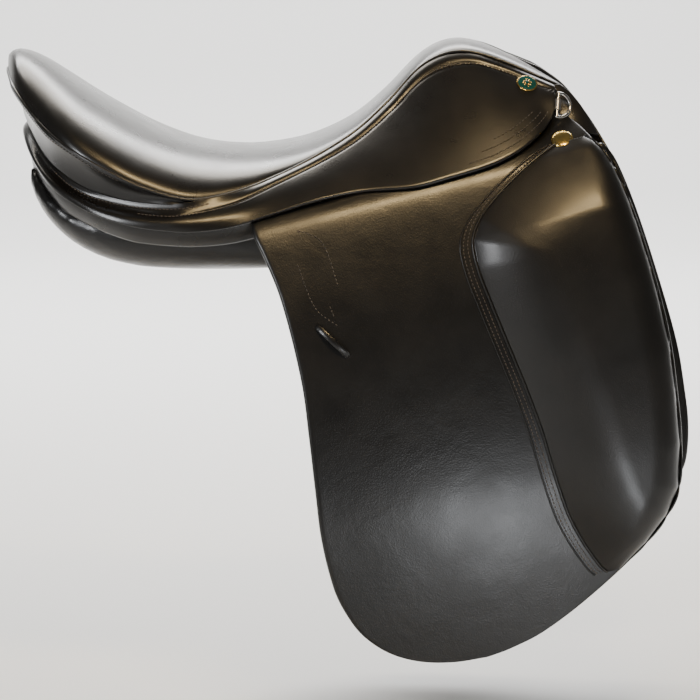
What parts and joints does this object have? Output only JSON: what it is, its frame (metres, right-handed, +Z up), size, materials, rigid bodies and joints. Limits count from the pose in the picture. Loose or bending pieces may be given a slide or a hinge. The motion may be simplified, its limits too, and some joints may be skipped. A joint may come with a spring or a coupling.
{
  "type": "english saddle",
  "caption": "Black leather dressage saddle with a deep seat, long straight flaps, outer knee blocks, lifting skirts, girth straps and stirrup bars.",
  "frame": {"origin": "in the channel between the two panels, on the centre plane, under the lowest part of the seat", "axes": "+X forward to the pommel, +Y to the rider's left, +Z up"},
  "size_m": [0.5624, 0.3524, 0.4968],
  "materials": {
    "seat_leather": "smooth glossy black calf leather",
    "flap_leather": "smooth glossy black bridle leather",
    "block_leather": "smooth black calf leather over foam",
    "panel_leather": "soft black panel leather",
    "strap_leather": "waxed black strap leather",
    "foam": "open-cell foam",
    "beech_laminate": "varnished beech laminate",
    "spring_steel": "blued spring steel",
    "forged_steel": "satin stainless steel",
    "dee_metal": "polished nickel plate",
    "nail_metal": "polished gilt brass",
    "badge_enamel": "gloss green enamel in a gilt rim",
    "webbing": "woven linen and nylon web",
    "rivet_steel": "plain steel"
  },
  "bodies": {
    "saddle": {"seat_cover": "seat_leather", "seat_foam": "foam", "cantle_facing": "seat_leather", "front_facing": "seat_leather", "point_facing_right": "seat_leather", "point_facing_left": "seat_leather", "seat_webs": "webbing", "tree_head": "beech_laminate", "tree_rail_right": "beech_laminate", "tree_rail_left": "beech_laminate", "tree_cantle": "beech_laminate", "tree_spring_right": "spring_steel", "tree_spring_left": "spring_steel", "gullet_plate": "spring_steel", "tree_rivets": "rivet_steel", "skirt_right": "seat_leather", "skirt_left": "seat_leather", "flap_top_right": "flap_leather", "flap_top_left": "flap_leather", "sweat_flap_right": "flap_leather", "sweat_flap_left": "flap_leather", "panel_right": "panel_leather", "panel_left": "panel_leather", "stirrup_bar_right": "forged_steel", "stirrup_bar_left": "forged_steel", "catch_pin_right": "rivet_steel", "catch_pin_left": "rivet_steel", "bar_rivets_right": "rivet_steel", "bar_rivets_left": "rivet_steel", "girth_web_right": "webbing", "girth_web_left": "webbing", "point_pocket_right": "panel_leather", "point_pocket_left": "panel_leather", "dee_clip_right": "rivet_steel", "dee_clip_left": "rivet_steel", "flap_nail_right": "nail_metal", "flap_nail_left": "nail_metal", "badge_right": "badge_enamel", "badge_left": "badge_enamel"},
    "flap_right": {"flap_right": "flap_leather", "knee_block_cover_right": "block_leather", "knee_block_foam_right": "foam", "keeper_loop_right": "strap_leather"},
    "skirt_lift_right": {"skirt_lift_right": "seat_leather"},
    "dee_right": {"dee_right": "dee_metal"},
    "bar_catch_right": {"bar_catch_right": "forged_steel"},
    "girth_straps_right": {"girth_strap_front_right": "strap_leather", "girth_strap_rear_right": "strap_leather"},
    "girth_guard_right": {"girth_guard_right": "strap_leather"},
    "flap_left": {"flap_left": "flap_leather", "knee_block_cover_left": "block_leather", "knee_block_foam_left": "foam", "keeper_loop_left": "strap_leather"},
    "skirt_lift_left": {"skirt_lift_left": "seat_leather"},
    "dee_left": {"dee_left": "dee_metal"},
    "bar_catch_left": {"bar_catch_left": "forged_steel"},
    "girth_straps_left": {"girth_strap_front_left": "strap_leather", "girth_strap_rear_left": "strap_leather"},
    "girth_guard_left": {"girth_guard_left": "strap_leather"}
  },
  "joints": [
    {"name": "flap_lift_right", "type": "hinge", "parent": "saddle", "child": "flap_right", "pos_m": [-0.037, -0.1455, 0.012], "axis": [-0.9638, -0.1251, -0.2353], "range_deg": [0, 90]},
    {"name": "flap_lift_left", "type": "hinge", "parent": "saddle", "child": "flap_left", "pos_m": [-0.037, 0.1455, 0.012], "axis": [0.9638, -0.1251, 0.2353], "range_deg": [0, 90]},
    {"name": "skirt_raise_right", "type": "hinge", "parent": "saddle", "child": "skirt_lift_right", "pos_m": [-0.02, -0.12, 0.045], "axis": [-0.9252, -0.2029, -0.3206], "range_deg": [0, 65]},
    {"name": "skirt_raise_left", "type": "hinge", "parent": "saddle", "child": "skirt_lift_left", "pos_m": [-0.02, 0.12, 0.045], "axis": [0.9252, -0.2029, 0.3206], "range_deg": [0, 65]},
    {"name": "dee_swing_right", "type": "hinge", "parent": "saddle", "child": "dee_right", "pos_m": [0.2098, -0.0895, 0.1015], "axis": [-0.1055, -0.3693, -0.9233], "range_deg": [0, 45]},
    {"name": "dee_swing_left", "type": "hinge", "parent": "saddle", "child": "dee_left", "pos_m": [0.2098, 0.0895, 0.1015], "axis": [0.1055, -0.3693, 0.9233], "range_deg": [0, 45]},
    {"name": "catch_flip_right", "type": "hinge", "parent": "saddle", "child": "bar_catch_right", "pos_m": [0.08462, -0.08403, 0.07988], "axis": [-0.0475, 0.9255, -0.3758], "range_deg": [0, 80]},
    {"name": "catch_flip_left", "type": "hinge", "parent": "saddle", "child": "bar_catch_left", "pos_m": [0.08462, 0.08403, 0.07988], "axis": [0.0475, 0.9255, 0.3758], "range_deg": [0, 80]},
    {"name": "strap_swing_right", "type": "hinge", "parent": "saddle", "child": "girth_straps_right", "pos_m": [0.098, -0.1225, 0.03], "axis": [-0.1284, 0.9878, -0.0886], "range_deg": [-4, 4]},
    {"name": "strap_swing_left", "type": "hinge", "parent": "saddle", "child": "girth_straps_left", "pos_m": [0.098, 0.1225, 0.03], "axis": [0.1284, 0.9878, 0.0886], "range_deg": [-4, 4]},
    {"name": "guard_slide_right", "type": "slide", "parent": "girth_straps_right", "child": "girth_guard_right", "axis": [-0.0114, 0.0879, 0.9961], "range_m": [0, 0.026]},
    {"name": "guard_slide_left", "type": "slide", "parent": "girth_straps_left", "child": "girth_guard_left", "axis": [-0.0114, -0.0879, 0.9961], "range_m": [0, 0.026]}
  ]
}
